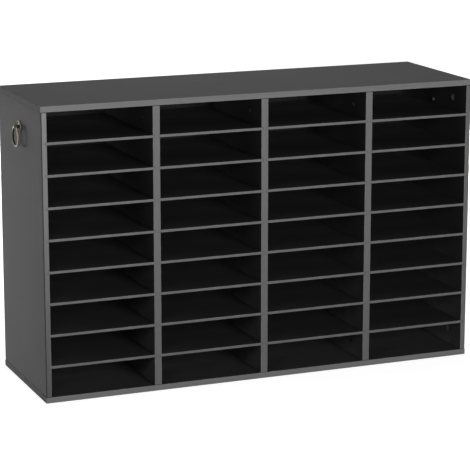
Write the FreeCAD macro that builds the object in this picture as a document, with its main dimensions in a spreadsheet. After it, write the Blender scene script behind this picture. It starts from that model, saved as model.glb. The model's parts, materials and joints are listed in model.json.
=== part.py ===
import FreeCAD, Part
import os
import re

import Sketcher
from FreeCAD import Placement, Rotation, Vector

# Pigeonhole mail sorter: a desk-top case of boards with four columns of nine pigeonholes.
#
# Frame: millimetres, +Z up, the front faces -Y, X runs along the width. The origin is the middle of
# the footprint, on the surface that the case stands on.
#
# Construction: the top and bottom boards cap five upright boards, two thin sides and three thicker
# dividers. Cam locks, cam bolts and dowels join them. Thin shelves slide from the front into grooves
# that are routed in the upright boards. The back panel is pinned to the rear edges, and a ring pull
# is screwed to each side.

COLUMNS = 4
ROWS = 9
PINS_PER_UPRIGHT = 5

SIZES = [
    ("pocket_width", 223.0, "clear width of a pigeonhole"),
    ("pocket_height", 60.3, "clear height of a pigeonhole"),
    ("case_depth", 304.0, "front edges to the rear face of the back panel"),
    ("cap_thickness", 12.0, "top and bottom boards"),
    ("side_thickness", 11.0, "outer upright boards"),
    ("side_inset", 1.0, "how far the caps stand out past the sides"),
    ("divider_thickness", 15.0, "inner upright boards, grooved on both faces"),
    ("edge_radius", 0.6, "rounding of the banded board edges"),
    ("shelf_thickness", 5.4, "shelves"),
    ("shelf_edge_radius", 0.9, "rounding of a shelf's front edge"),
    ("groove_depth", 4.5, "shelf grooves in the upright boards"),
    ("groove_play", 0.3, "height left free above a shelf in its groove"),
    ("shelf_side_play", 0.5, "gap between a shelf's end and the floor of its groove"),
    ("shelf_back_play", 0.5, "gap between a shelf and the back panel"),
    ("back_thickness", 3.0, "back panel"),
    ("back_inset", 2.0, "back panel set in from the outline of the case"),
    ("joint_line", 60.0, "cam locks, from the front and from the rear of an upright"),
    ("dowel_spacing", 32.0, "from a cam lock inwards to its dowel"),
    ("cam_setback", 34.0, "cam lock centre from the end of an upright"),
    ("cam_diameter", 15.0, "cam housing"),
    ("cam_play", 0.1, "radial play of a cam in its housing"),
    ("cam_floor", 4.0, "cam housing depth past the middle of the board"),
    ("cam_slot_length", 8.0, "cross slot on the cam's face"),
    ("cam_slot_width", 1.4, "cross slot on the cam's face"),
    ("cam_slot_depth", 2.0, "cross slot on the cam's face"),
    ("bolt_diameter", 5.0, "cam bolt thread and shank"),
    ("bolt_thread_depth", 8.5, "cam bolt in the cap"),
    ("bolt_neck_diameter", 3.2, "cam bolt behind its head"),
    ("bolt_neck_length", 5.0, "cam bolt behind its head"),
    ("bolt_head_diameter", 6.4, "cam bolt head"),
    ("bolt_head_length", 2.6, "cam bolt head"),
    ("bolt_channel_diameter", 7.2, "bore for the bolt in the end of an upright"),
    ("dowel_diameter", 6.0, "wooden dowels"),
    ("dowel_length", 30.0, "wooden dowels"),
    ("dowel_depth_in_cap", 8.0, "dowel hole in a cap"),
    ("dowel_end_play", 1.0, "free length at the end of a dowel"),
    ("pin_diameter", 1.6, "panel pins of the back"),
    ("pin_length", 20.0, "panel pins of the back"),
    ("pin_head_diameter", 3.2, "panel pins of the back"),
    ("pin_head_length", 0.8, "panel pins of the back"),
    ("pin_margin", 25.0, "first panel pin from the end of an upright"),
    ("pull_setback", 150.0, "ring pull axis from the front"),
    ("pull_drop", 63.0, "ring pull axis below the top of the case"),
    ("rosette_diameter", 24.0, "round plate under the post"),
    ("rosette_rim", 1.2, "thickness of the plate at its rim"),
    ("rosette_boss_diameter", 15.0, "raised middle of the plate"),
    ("rosette_thickness", 2.6, "thickness of the plate at its middle"),
    ("rosette_round", 0.5, "rounding of the plate"),
    ("post_reach", 9.0, "ring axis out from the side panel"),
    ("post_neck_diameter", 7.0, "neck of the post"),
    ("post_ball_diameter", 10.6, "round head of the post"),
    ("ring_mean_diameter", 40.0, "ring, measured along the middle of its rod"),
    ("ring_rod_diameter", 4.0, "rod that the ring is bent from"),
    ("ring_play", 0.35, "free space round the rod in the post's bore"),
    ("screw_diameter", 4.0, "machine screw of a ring pull"),
    ("screw_clearance", 0.25, "radial clearance of the screw in the panel and the plate"),
    ("screw_head_diameter", 7.6, "machine screw of a ring pull"),
    ("screw_head_height", 2.2, "machine screw of a ring pull"),
    ("screw_slot_width", 1.0, "slot in the screw's head"),
    ("screw_slot_depth", 1.0, "slot in the screw's head"),
    ("screw_engagement", 2.8, "length of screw inside the post"),
    ("washer_diameter", 10.0, "washer under the screw's head"),
    ("washer_thickness", 0.8, "washer under the screw's head"),
]

doc = FreeCAD.newDocument("pigeonhole_sorter")
sizes = doc.addObject("Spreadsheet::Sheet", "sizes")
for row, (alias, number, meaning) in enumerate(SIZES, 1):
    sizes.set(f"A{row}", meaning)
    sizes.set(f"B{row}", str(number))
    sizes.setAlias(f"B{row}", alias)
doc.recompute()

ALIASES = {alias for alias, number, meaning in SIZES}


# ---- formulas over the sheet ------------------------------------------------------------------

def sheet_formula(formula):
    """Write the sheet's name before each alias in a formula."""
    return re.sub(r"[a-z_]+", lambda word: f"sizes.{word[0]}" if word[0] in ALIASES else word[0], formula)


def value(formula):
    """The number that a formula gives with the sizes in the sheet."""
    return float(sizes.evalExpression(sheet_formula(formula)))


def bind(item, property_name, formula):
    item.setExpression(property_name, sheet_formula(formula))


CASE_WIDTH = (f"({COLUMNS} * pocket_width + {COLUMNS - 1} * divider_thickness"
              " + 2 * side_thickness + 2 * side_inset)")
CASE_HEIGHT = f"({ROWS} * pocket_height + {ROWS - 1} * shelf_thickness + 2 * cap_thickness)"
COLUMN_PITCH = "(pocket_width + divider_thickness)"
ROW_PITCH = "(pocket_height + shelf_thickness)"
FRONT = "(-case_depth / 2)"
BOARD_DEPTH = "(case_depth - back_thickness)"
REAR = f"({FRONT} + {BOARD_DEPTH})"
UPRIGHT_TOP = f"({CASE_HEIGHT} - cap_thickness)"
UPRIGHT_HEIGHT = f"({UPRIGHT_TOP} - cap_thickness)"
SIDE_CENTRE = f"({CASE_WIDTH} / 2 - side_inset - side_thickness / 2)"
PANEL_FACE = f"({CASE_WIDTH} / 2 - side_inset)"
CAM_LINES = [f"({FRONT} + joint_line)", f"({REAR} - joint_line)"]
DOWEL_LINES = [f"({FRONT} + joint_line + dowel_spacing)", f"({REAR} - joint_line - dowel_spacing)"]
CAM_HEIGHTS = ["(cap_thickness + cam_setback)", f"({UPRIGHT_TOP} - cam_setback)"]
PULL_DEPTH = f"({FRONT} + pull_setback)"
PULL_HEIGHT = f"({CASE_HEIGHT} - pull_drop)"
SCREW_BORE = "(screw_diameter + 2 * screw_clearance)"

# Each upright board: name, middle along X, thickness, grooved faces and the face with the cam locks
# (-1 is the face towards -X, 1 the face towards +X).
UPRIGHTS = [("left_side_panel", f"(-{SIDE_CENTRE})", "side_thickness", [1], 1)]
for number in range(1, COLUMNS):
    UPRIGHTS.append((f"divider_{number}", f"(({number} - {COLUMNS} / 2) * {COLUMN_PITCH})",
                     "divider_thickness", [-1, 1], -1))
UPRIGHTS.append(("right_side_panel", SIDE_CENTRE, "side_thickness", [-1], -1))


def pin_heights():
    """Heights of the panel pins along an upright board, evenly spread between the two margins."""
    span = f"({UPRIGHT_HEIGHT} - 2 * pin_margin)"
    return [f"(cap_thickness + pin_margin + {step} * {span} / {PINS_PER_UPRIGHT - 1})"
            for step in range(PINS_PER_UPRIGHT)]


def pin_columns():
    """Places along X of the panel pins in a cap: two in the width of each pigeonhole."""
    middles = [f"(({column} - {COLUMNS} / 2 - 0.5) * {COLUMN_PITCH})" for column in range(1, COLUMNS + 1)]
    return [f"({middle} + {side} * pocket_width / 4)" for middle in middles for side in (-1, 1)]


# ---- PartDesign helpers -----------------------------------------------------------------------

def new_body(label):
    body = doc.addObject("PartDesign::Body", label)
    body.Label = label
    return body


def new_sketch(body, plane, name, offset="0"):
    """A sketch on one of the body's own origin planes, moved along the plane's normal."""
    sketch = body.newObject("Sketcher::SketchObject", name)
    support = next(item for item in body.Origin.OriginFeatures if item.Role == plane)
    sketch.AttachmentSupport = [(support, "")]
    sketch.MapMode = "FlatFace"
    bind(sketch, "AttachmentOffset.Base.z", offset)
    return sketch


def bind_point(sketch, tag, geometry, position, across, up):
    """Hold a point of the sketch at two formulas, measured from the sketch's origin."""
    for kind, formula in (("DistanceX", across), ("DistanceY", up)):
        index = sketch.addConstraint(Sketcher.Constraint(kind, -1, 1, geometry, position, value(formula)))
        name = f"{tag}_{kind}"
        sketch.renameConstraint(index, name)
        bind(sketch, f"Constraints.{name}", formula)


def add_outline(sketch, tag, corners):
    """A closed outline of straight lines, each corner given as a pair of formulas."""
    points = [Vector(value(across), value(up), 0) for across, up in corners]
    first = sketch.GeometryCount
    count = len(points)
    for start in range(count):
        sketch.addGeometry(Part.LineSegment(points[start], points[(start + 1) % count]), False)
    for start in range(count):
        sketch.addConstraint(
            Sketcher.Constraint("Coincident", first + start, 2, first + (start + 1) % count, 1))
    for start, (across, up) in enumerate(corners):
        bind_point(sketch, f"{tag}_{start}", first + start, 1, across, up)


def add_rectangle(sketch, tag, left, right, bottom, top):
    add_outline(sketch, tag, [(left, bottom), (right, bottom), (right, top), (left, top)])


def add_circle(sketch, tag, across, up, diameter):
    centre = Vector(value(across), value(up), 0)
    circle = sketch.addGeometry(Part.Circle(centre, Vector(0, 0, 1), value(diameter) / 2), False)
    bind_point(sketch, tag, circle, 3, across, up)
    index = sketch.addConstraint(Sketcher.Constraint("Diameter", circle, value(diameter)))
    sketch.renameConstraint(index, f"{tag}_diameter")
    bind(sketch, f"Constraints.{tag}_diameter", diameter)


def pad(body, sketch, name, length):
    feature = body.newObject("PartDesign::Pad", name)
    feature.Profile = sketch
    bind(feature, "Length", length)
    doc.recompute()
    return feature


def pocket(body, sketch, name, depth, reverse=False):
    """Cut a sketch into the body. Without reverse it cuts against the sketch's normal."""
    before = body.Shape.Volume
    feature = body.newObject("PartDesign::Pocket", name)
    feature.Profile = sketch
    feature.Reversed = reverse
    bind(feature, "Length", depth)
    doc.recompute()
    if not feature.Shape.Volume < before:
        raise RuntimeError(f"{body.Label}: {name} cut nothing")
    return feature


def repeat_up(body, feature, name, sketch, length, count):
    """Repeat a feature along the sketch's vertical axis."""
    before = body.Shape.Volume
    pattern = body.newObject("PartDesign::LinearPattern", name)
    pattern.Originals = [feature]
    pattern.Direction = (sketch, ["V_Axis"])
    bind(pattern, "Length", length)
    pattern.Occurrences = count
    body.Tip = pattern
    doc.recompute()
    if not body.Shape.Volume < before:
        raise RuntimeError(f"{body.Label}: {name} cut nothing")
    return pattern


def round_edges(body, base, radius, wanted):
    """Round the edges of the base feature that the test picks by their end points."""
    names = []
    for number, edge in enumerate(base.Shape.Edges, 1):
        if wanted([vertex.Point for vertex in edge.Vertexes]):
            names.append(f"Edge{number}")
    fillet = body.newObject("PartDesign::Fillet", "rounded_edges")
    fillet.Base = (base, names)
    bind(fillet, "Radius", radius)
    doc.recompute()
    return fillet


def at_depth(points, depth):
    """True when all the points lie in the plane y = depth."""
    return all(abs(point.y - depth) < 0.001 for point in points)


# ---- boards -----------------------------------------------------------------------------------

def cap_board(label, underside, inner_face, into_board):
    """Top or bottom board. into_board is True where holes in the inner face run upwards."""
    body = new_body(label)
    outline = new_sketch(body, "XY_Plane", f"{label}_outline", underside)
    add_rectangle(outline, "board", f"(-{CASE_WIDTH} / 2)", f"({CASE_WIDTH} / 2)", FRONT, REAR)
    board = pad(body, outline, f"{label}_board", "cap_thickness")
    rear = value(REAR)
    round_edges(body, board, "edge_radius", lambda points: not at_depth(points, rear))

    bolts = new_sketch(body, "XY_Plane", f"{label}_bolt_holes", inner_face)
    dowels = new_sketch(body, "XY_Plane", f"{label}_dowel_holes", inner_face)
    for upright, centre, thickness, grooved, cam_face in UPRIGHTS:
        for row, (cam_line, dowel_line) in enumerate(zip(CAM_LINES, DOWEL_LINES)):
            add_circle(bolts, f"{upright}_{row}", centre, cam_line, "bolt_diameter")
            add_circle(dowels, f"{upright}_{row}", centre, dowel_line, "dowel_diameter")
    pocket(body, bolts, f"{label}_bolt_bores", "bolt_thread_depth", into_board)
    pocket(body, dowels, f"{label}_dowel_bores", "dowel_depth_in_cap", into_board)

    pins = new_sketch(body, "XZ_Plane", f"{label}_pin_holes", f"(-{REAR})")
    for column, across in enumerate(pin_columns()):
        add_circle(pins, f"pin_{column}", across, f"({underside} + cap_thickness / 2)", "pin_diameter")
    pocket(body, pins, f"{label}_pin_bores", "(pin_length - back_thickness)", True)
    return body


def upright_board(label, centre, thickness, grooved_faces, cam_face):
    """Side panel or divider, with shelf grooves, cam housings and the bores for bolts, dowels, pins."""
    body = new_body(label)
    left = f"({centre} - {thickness} / 2)"
    right = f"({centre} + {thickness} / 2)"
    outline = new_sketch(body, "XY_Plane", f"{label}_outline", "cap_thickness")
    add_rectangle(outline, "board", left, right, FRONT, REAR)
    board = pad(body, outline, f"{label}_board", UPRIGHT_HEIGHT)
    front = value(FRONT)
    height = value(UPRIGHT_HEIGHT)
    round_edges(body, board, "edge_radius",
                lambda points: at_depth(points, front) and abs(points[0].z - points[-1].z) > height / 2)

    grooves = new_sketch(body, "XZ_Plane", f"{label}_grooves", f"(-{FRONT})")
    floor = "(cap_thickness + pocket_height)"
    ceiling = f"({floor} + shelf_thickness + groove_play)"
    for face in grooved_faces:
        surface = left if face < 0 else right
        inside = f"({surface} - {face} * groove_depth)"
        ends = (surface, inside) if face < 0 else (inside, surface)
        add_rectangle(grooves, f"groove_{face + 1}", ends[0], ends[1], floor, ceiling)
    groove = pocket(body, grooves, f"{label}_lowest_groove", BOARD_DEPTH)
    repeat_up(body, groove, f"{label}_all_grooves", grooves, f"({ROWS - 2} * {ROW_PITCH})", ROWS - 1)

    cams = new_sketch(body, "YZ_Plane", f"{label}_cam_housings", left if cam_face < 0 else right)
    for row, depth in enumerate(CAM_LINES):
        for level, cam_height in enumerate(CAM_HEIGHTS):
            add_circle(cams, f"cam_{row}_{level}", depth, cam_height, "cam_diameter")
    pocket(body, cams, f"{label}_cam_bores", f"({thickness} / 2 + cam_floor)", cam_face < 0)

    for end, level, upwards in (("lower", "cap_thickness", True), ("upper", UPRIGHT_TOP, False)):
        bolts = new_sketch(body, "XY_Plane", f"{label}_{end}_channels", level)
        dowels = new_sketch(body, "XY_Plane", f"{label}_{end}_dowel_holes", level)
        for row, (cam_line, dowel_line) in enumerate(zip(CAM_LINES, DOWEL_LINES)):
            add_circle(bolts, f"bolt_{row}", centre, cam_line, "bolt_channel_diameter")
            add_circle(dowels, f"dowel_{row}", centre, dowel_line, "dowel_diameter")
        pocket(body, bolts, f"{label}_{end}_channel_bores", "cam_setback", upwards)
        pocket(body, dowels, f"{label}_{end}_dowel_bores",
               "(dowel_length - dowel_depth_in_cap + dowel_end_play)", upwards)

    pins = new_sketch(body, "XZ_Plane", f"{label}_pin_holes", f"(-{REAR})")
    for step, pin_height in enumerate(pin_heights()):
        add_circle(pins, f"pin_{step}", centre, pin_height, "pin_diameter")
    pocket(body, pins, f"{label}_pin_bores", "(pin_length - back_thickness)", True)
    return body


def drill_for_pull(body, side):
    """Hole through a side panel for the screw of its ring pull."""
    hole = new_sketch(body, "YZ_Plane", f"{body.Label}_pull_hole", f"({side} * {PANEL_FACE})")
    add_circle(hole, "screw", PULL_DEPTH, PULL_HEIGHT, SCREW_BORE)
    pocket(body, hole, f"{body.Label}_pull_bore", "side_thickness", side < 0)


def back_panel():
    """Thin panel over the rear edges, with countersunk places for the pin heads."""
    body = new_body("back_panel")
    outline = new_sketch(body, "XZ_Plane", "back_outline", f"(-{REAR})")
    half = f"({CASE_WIDTH} / 2 - back_inset)"
    add_rectangle(outline, "panel", f"(-{half})", half, "back_inset", f"({CASE_HEIGHT} - back_inset)")
    board = pad(body, outline, "back_board", "back_thickness")
    board.Reversed = True
    shanks = new_sketch(body, "XZ_Plane", "back_pin_holes", f"(-{REAR})")
    heads = new_sketch(body, "XZ_Plane", "back_pin_heads", "(-case_depth / 2)")
    for number, (across, up) in enumerate(pin_spots()):
        add_circle(shanks, f"pin_{number}", across, up, "pin_diameter")
        add_circle(heads, f"pin_{number}", across, up, "pin_head_diameter")
    doc.recompute()
    pocket(body, shanks, "back_pin_bores", "back_thickness")
    pocket(body, heads, "back_pin_sinks", "pin_head_length", True)
    return body


def pin_spots():
    """Where the panel pins go, as pairs of formulas for X and Z."""
    spots = [(centre, up) for name, centre, thickness, grooved, cam_face in UPRIGHTS for up in pin_heights()]
    for up in ("(cap_thickness / 2)", f"({CASE_HEIGHT} - cap_thickness / 2)"):
        spots += [(across, up) for across in pin_columns()]
    return spots


def shelf(column, row):
    """Shelf under the pigeonhole in a column (from the left) and a row (from the top)."""
    label = f"shelf_c{column}_r{row}"
    body = new_body(label)
    middle = f"(({column} - {COLUMNS} / 2 - 0.5) * {COLUMN_PITCH})"
    half = "(pocket_width / 2 + groove_depth - shelf_side_play)"
    underside = f"({UPRIGHT_TOP} - {row} * {ROW_PITCH})"
    outline = new_sketch(body, "XY_Plane", f"{label}_outline", underside)
    add_rectangle(outline, "board", f"({middle} - {half})", f"({middle} + {half})",
                  FRONT, f"({REAR} - shelf_back_play)")
    board = pad(body, outline, f"{label}_board", "shelf_thickness")
    front = value(FRONT)
    round_edges(body, board, "shelf_edge_radius",
                lambda points: at_depth(points, front) and abs(points[0].x - points[-1].x) > 1)
    return body


# ---- Part primitives for the ring pulls ---------------------------------------------------------

def primitive(kind, name, properties, middle=("0", "0", "0"), turn=Rotation()):
    """A Part primitive with its sizes and its place bound to formulas."""
    item = doc.addObject(f"Part::{kind}", name)
    for property_name, formula in properties.items():
        bind(item, property_name, formula)
    put(item, middle, turn)
    return item


def put(item, place, turn):
    item.Placement = Placement(Vector(0, 0, 0), turn)
    for letter, formula in zip("xyz", place):
        bind(item, f"Placement.Base.{letter}", formula)


def boolean(kind, label, parts):
    """Part::MultiFuse of all the parts, or Part::Cut of the first by the rest."""
    if kind == "Cut":
        tools = doc.addObject("Part::MultiFuse", f"{label}_tools")
        tools.Shapes = parts[1:]
        item = doc.addObject("Part::Cut", label)
        item.Base = parts[0]
        item.Tool = tools
    else:
        item = doc.addObject("Part::MultiFuse", label)
        item.Shapes = parts
    return item


ALONG_X = Rotation(Vector(0, 1, 0), 90)
ALONG_Y = Rotation(Vector(1, 0, 0), -90)
HALF_TURN = Rotation(Vector(0, 0, 1), 180)


def pull_place(side):
    """Where a ring pull's own origin lies: on the outer face of the side panel, on the screw's axis."""
    return (f"({side} * {PANEL_FACE})", PULL_DEPTH, PULL_HEIGHT)


def rosette(name, side):
    """Round plate with a raised middle, turned about the screw's axis. Local +X points outwards."""
    body = new_body(f"{name}_rosette")
    profile = new_sketch(body, "XY_Plane", f"{name}_rosette_profile")
    bore = f"({SCREW_BORE} / 2)"
    add_outline(profile, "plate", [
        ("0", bore), ("0", "(rosette_diameter / 2)"), ("rosette_rim", "(rosette_diameter / 2)"),
        ("rosette_rim", "(rosette_boss_diameter / 2)"),
        ("rosette_thickness", "(rosette_boss_diameter / 2 - rosette_thickness + rosette_rim)"),
        ("rosette_thickness", bore)])
    turned = body.newObject("PartDesign::Revolution", f"{name}_rosette_turned")
    turned.Profile = profile
    turned.ReferenceAxis = (profile, ["H_Axis"])
    turned.Angle = 360
    doc.recompute()
    rim = value("rosette_diameter") / 2
    round_edges(body, turned, "rosette_round",
                lambda points: points[0].x > 0.001 and abs(Vector(0, points[0].y, points[0].z).Length - rim) < 0.001)
    put(body, pull_place(side), Rotation() if side > 0 else HALF_TURN)
    return body


def post(name, side):
    """Neck and round head. The ring goes through the head along Y, the screw enters from behind."""
    label = f"{name}_post"
    neck = primitive("Cylinder", f"{label}_neck",
                     {"Radius": "post_neck_diameter / 2", "Height": "post_reach - rosette_thickness"},
                     ("rosette_thickness", "0", "0"), ALONG_X)
    ball = primitive("Sphere", f"{label}_ball", {"Radius": "post_ball_diameter / 2"},
                     ("post_reach", "0", "0"))
    solid = boolean("MultiFuse", f"{label}_solid", [neck, ball])
    # The rod bends away from the bore's axis by its rise over half the length of the bore.
    rise = "(ring_mean_diameter / 2 - sqrt(pow(ring_mean_diameter / 2; 2) - pow(post_ball_diameter / 2; 2)))"
    ring_bore = primitive("Cylinder", f"{label}_ring_bore",
                          {"Radius": f"ring_rod_diameter / 2 + {rise} + ring_play",
                           "Height": "2 * post_ball_diameter"},
                          ("post_reach", "-post_ball_diameter", "0"), ALONG_Y)
    thread = primitive("Cylinder", f"{label}_thread",
                       {"Radius": "screw_diameter / 2", "Height": "screw_engagement"},
                       ("rosette_thickness", "0", "0"), ALONG_X)
    item = boolean("Cut", label, [solid, ring_bore, thread])
    put(item, pull_place(side), Rotation() if side > 0 else HALF_TURN)
    return item


def ring(name, side):
    """Ring bent from round rod, hanging straight down from the bore in the post."""
    across, depth, up = pull_place(side)
    place = (f"({across} + {side} * post_reach)", depth, f"({up} - ring_mean_diameter / 2)")
    return primitive("Torus", f"{name}_ring",
                     {"Radius1": "ring_mean_diameter / 2", "Radius2": "ring_rod_diameter / 2"},
                     place, ALONG_X)


# ---- fasteners: one shape, copied to every place ------------------------------------------------

def rod(diameter, length, start=0.0):
    """Round rod along +Z, its lower end at start."""
    return Part.makeCylinder(diameter / 2, length, Vector(0, 0, start))


def cam_shape(depth):
    """Cam, its open face at z = 0 and its body below, with the bolt coming in from +X."""
    radius = value("cam_diameter / 2 - cam_play")
    slot_length = value("cam_slot_length")
    slot_width = value("cam_slot_width")
    slot_depth = value("cam_slot_depth")
    cam = Part.makeCylinder(radius, depth, Vector(0, 0, -depth))
    for length, width in ((slot_length, slot_width), (slot_width, slot_length)):
        corner = Vector(-length / 2, -width / 2, -slot_depth)
        cam = cam.cut(Part.makeBox(length, width, slot_depth, corner))
    mouth = value("bolt_head_diameter / 2 + cam_play")
    middle = value("cam_floor") - depth
    hollow = Part.makeCylinder(mouth, radius + mouth, Vector(-mouth, 0, middle), Vector(1, 0, 0))
    return cam.cut(hollow)


def bolt_shape():
    """Cam bolt along +Z, its thread below z = 0 and its head at the cam."""
    setback = value("cam_setback")
    neck_length = value("bolt_neck_length")
    head_length = value("bolt_head_length")
    shank_end = setback - head_length / 2 - neck_length
    bolt = rod(value("bolt_diameter"), value("bolt_thread_depth") + shank_end, -value("bolt_thread_depth"))
    bolt = bolt.fuse(rod(value("bolt_neck_diameter"), neck_length, shank_end))
    bolt = bolt.fuse(rod(value("bolt_head_diameter"), head_length, setback - head_length / 2))
    return bolt.removeSplitter()


def pin_shape():
    """Panel pin driven along -Z, its head flush with z = 0."""
    head = value("pin_head_length")
    pin = rod(value("pin_diameter"), value("pin_length"), -value("pin_length"))
    return pin.fuse(rod(value("pin_head_diameter"), head, -head)).removeSplitter()


def screw_shape():
    """Slotted machine screw along +Z, the underside of its head at z = 0."""
    head_height = value("screw_head_height")
    head_radius = value("screw_head_diameter / 2")
    length = value("side_thickness + washer_thickness + rosette_thickness + screw_engagement")
    ball_radius = (head_radius ** 2 + head_height ** 2) / (2 * head_height)
    head = Part.makeSphere(ball_radius, Vector(0, 0, ball_radius - head_height))
    head = head.common(Part.makeCylinder(2 * head_radius, head_height, Vector(0, 0, -head_height)))
    slot_width = value("screw_slot_width")
    slot_depth = value("screw_slot_depth")
    corner = Vector(-head_radius, -slot_width / 2, -head_height)
    head = head.cut(Part.makeBox(2 * head_radius, slot_width, slot_depth, corner))
    return head.fuse(rod(value("screw_diameter"), length)).removeSplitter()


def washer_shape():
    """Washer along +Z from z = 0."""
    thickness = value("washer_thickness")
    return rod(value("washer_diameter"), thickness).cut(rod(value(SCREW_BORE), thickness))


def copies(label, placed_shapes):
    """One sub-part made of the same fastener at many places."""
    item = doc.addObject("Part::Feature", label)
    item.Shape = Part.makeCompound(placed_shapes)
    item.Placement = Placement()
    return item


def moved(shape, place, turn=Rotation()):
    copy = shape.copy()
    copy.Placement = Placement(place, turn)
    return copy


def joint_fasteners():
    """Cam locks, cam bolts and dowels at both ends of every upright board."""
    cams = []
    bolts = []
    dowels = []
    bolt = bolt_shape()
    dowel = rod(value("dowel_diameter"), value("dowel_length"), -value("dowel_depth_in_cap"))
    for label, centre, thickness, grooved_faces, cam_face in UPRIGHTS:
        across = value(centre)
        cam = cam_shape(value(f"{thickness} / 2 + cam_floor"))
        face = across + cam_face * value(f"{thickness} / 2")
        for end, cam_height, upwards in (("cap_thickness", CAM_HEIGHTS[0], True),
                                         (UPRIGHT_TOP, CAM_HEIGHTS[1], False)):
            # The cam's mouth looks along Z to the end of the board, its face out of the board.
            outwards = Vector(cam_face, 0, 0)
            to_end = Vector(0, 0, -1 if upwards else 1)
            cam_turn = Rotation(to_end, outwards.cross(to_end), outwards, "ZXY")
            rod_turn = Rotation() if upwards else Rotation(Vector(1, 0, 0), 180)
            for cam_line, dowel_line in zip(CAM_LINES, DOWEL_LINES):
                cams.append(moved(cam, Vector(face, value(cam_line), value(cam_height)), cam_turn))
                bolts.append(moved(bolt, Vector(across, value(cam_line), value(end)), rod_turn))
                dowels.append(moved(dowel, Vector(across, value(dowel_line), value(end)), rod_turn))
    return [copies("cam_locks", cams), copies("cam_bolts", bolts), copies("dowels", dowels)]


def back_pins():
    pin = pin_shape()
    turn = Rotation(Vector(1, 0, 0), -90)
    rear_face = value("case_depth / 2")
    return copies("back_panel_pins",
                  [moved(pin, Vector(value(across), rear_face, value(up)), turn) for across, up in pin_spots()])


def pull_fasteners():
    """The screw and the washer of each ring pull, put in from inside the case."""
    screw = screw_shape()
    washer = washer_shape()
    screws = []
    washers = []
    depth = value(PULL_DEPTH)
    up = value(PULL_HEIGHT)
    inner_face = value(f"{PANEL_FACE} - side_thickness")
    for side in (-1, 1):
        turn = ALONG_X if side > 0 else Rotation(Vector(0, 1, 0), -90)
        washer_start = side * (inner_face - value("washer_thickness"))
        screws.append(moved(screw, Vector(washer_start, depth, up), turn))
        washers.append(moved(washer, Vector(washer_start, depth, up), turn))
    return [copies("ring_pull_screws", screws), copies("ring_pull_washers", washers)]


# ---- assembly ---------------------------------------------------------------------------------

def build():
    parts = [cap_board("bottom_panel", "0", "cap_thickness", False),
             cap_board("top_panel", UPRIGHT_TOP, UPRIGHT_TOP, True)]
    for upright in UPRIGHTS:
        parts.append(upright_board(*upright))
    drill_for_pull(parts[2], -1)
    drill_for_pull(parts[-1], 1)
    parts.append(back_panel())
    for column in range(1, COLUMNS + 1):
        for row in range(1, ROWS):
            parts.append(shelf(column, row))
    for name, side in (("left_pull", -1), ("right_pull", 1)):
        parts += [rosette(name, side), post(name, side), ring(name, side)]
    parts += joint_fasteners() + [back_pins()] + pull_fasteners()
    return parts


def check_document():
    for item in doc.Objects:
        if {"Invalid", "Error"} & set(item.State):
            raise RuntimeError(f"{item.Label} is {item.State}")


def write_steps(parts):
    os.makedirs("parts", exist_ok=True)
    for part in parts:
        shape = part.Shape
        if shape.isNull() or not shape.isValid():
            raise RuntimeError(f"{part.Label} has no valid shape")
    for part in parts:
        part.Shape.exportStep(f"parts/{part.Label}.step")
        print(f"{part.Label}: {len(part.Shape.Solids)} solids, {part.Shape.Volume / 1000:.2f} cm3")


parts = build()
doc.recompute()
check_document()
write_steps(parts)
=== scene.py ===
# %% [markdown]
# # A pigeonhole mail sorter in charcoal board
# The sorter is a flat-pack case: seven boards joined by cams and dowels, a hardboard back,
# thirty-two thin shelves that slide in grooves, and a brass ring pull on each side. The
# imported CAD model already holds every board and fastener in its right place. This script
# gives each of them the finish that it has in life, turns finer brass pulls, and builds a
# small studio round it.

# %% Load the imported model
import json
import math

import bmesh
import bpy
from mathutils import Matrix, Vector

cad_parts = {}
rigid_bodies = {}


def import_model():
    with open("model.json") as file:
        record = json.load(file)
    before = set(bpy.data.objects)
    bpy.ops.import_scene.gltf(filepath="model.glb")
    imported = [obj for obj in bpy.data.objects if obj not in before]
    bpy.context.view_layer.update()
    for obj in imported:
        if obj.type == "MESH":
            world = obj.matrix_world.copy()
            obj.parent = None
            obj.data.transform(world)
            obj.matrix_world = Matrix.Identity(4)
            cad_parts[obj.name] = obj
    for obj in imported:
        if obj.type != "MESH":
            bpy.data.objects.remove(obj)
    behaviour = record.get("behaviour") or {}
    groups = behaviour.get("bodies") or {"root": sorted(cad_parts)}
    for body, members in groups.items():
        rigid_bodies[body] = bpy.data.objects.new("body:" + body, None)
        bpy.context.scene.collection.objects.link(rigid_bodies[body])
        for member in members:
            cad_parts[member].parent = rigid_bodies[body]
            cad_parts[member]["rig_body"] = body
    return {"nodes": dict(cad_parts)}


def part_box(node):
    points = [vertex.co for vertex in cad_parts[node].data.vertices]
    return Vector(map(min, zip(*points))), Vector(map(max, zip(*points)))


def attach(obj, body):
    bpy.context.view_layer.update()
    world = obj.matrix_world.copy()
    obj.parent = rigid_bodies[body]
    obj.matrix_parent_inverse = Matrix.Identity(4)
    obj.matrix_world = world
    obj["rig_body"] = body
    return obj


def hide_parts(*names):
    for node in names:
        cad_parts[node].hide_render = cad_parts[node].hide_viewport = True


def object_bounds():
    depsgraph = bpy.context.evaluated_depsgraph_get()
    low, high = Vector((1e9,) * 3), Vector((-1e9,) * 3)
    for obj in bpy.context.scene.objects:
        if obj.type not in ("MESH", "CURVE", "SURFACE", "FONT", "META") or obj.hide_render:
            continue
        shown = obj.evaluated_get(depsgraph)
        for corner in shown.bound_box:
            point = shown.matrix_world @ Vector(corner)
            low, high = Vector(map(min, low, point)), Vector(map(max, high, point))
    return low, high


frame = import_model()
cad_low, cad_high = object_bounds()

MM_PER_M = 1000.0
nodes = frame["nodes"]
print("pieces in the model:", len(nodes))
print("overall size, mm:", [round(MM_PER_M * side, 1) for side in cad_high - cad_low])

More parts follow.
